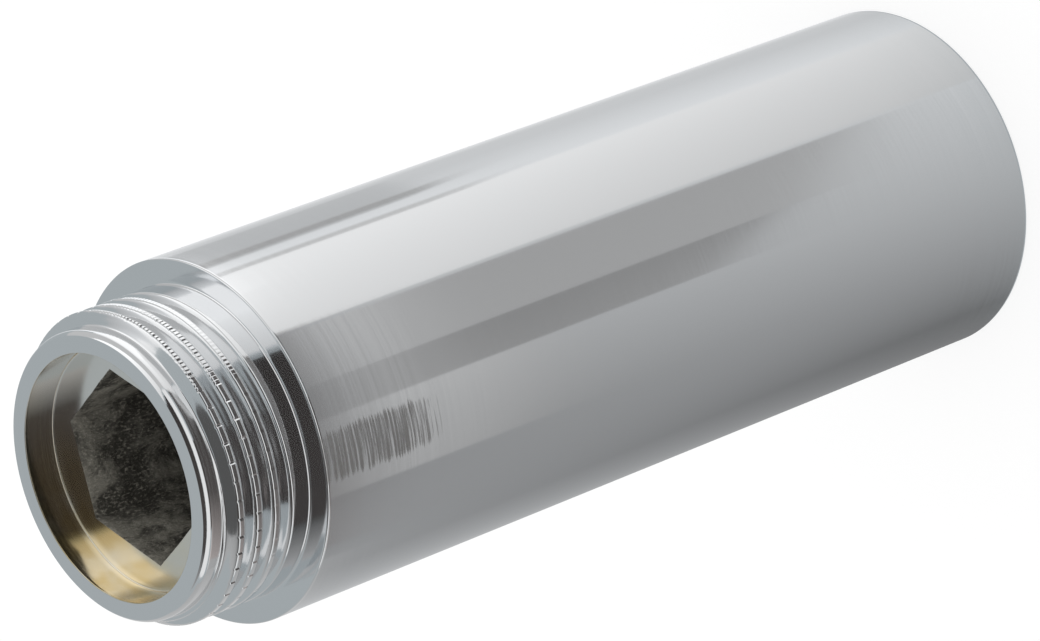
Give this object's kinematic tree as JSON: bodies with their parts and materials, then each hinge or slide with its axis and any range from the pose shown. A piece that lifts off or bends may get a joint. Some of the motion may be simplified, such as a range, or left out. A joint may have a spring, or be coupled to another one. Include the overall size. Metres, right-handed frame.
{
  "type": "threaded pipe extension",
  "caption": "Chromed brass pipe extension: male pipe thread, plain round barrel, female socket and a hexagonal key passage through the middle.",
  "frame": {"origin": "centre of the socket end face, on the pipe axis", "axes": "+Z along the pipe axis, from the socket end to the male end; +X through a corner of the hexagonal passage"},
  "size_m": [0.0304, 0.0304, 0.09],
  "materials": {
    "chromed_brass": "polished and satin chrome plate over turned brass, bare brass inside the passage"
  },
  "bodies": {
    "root": {"extension_body": "chromed_brass"}
  },
  "joints": []
}
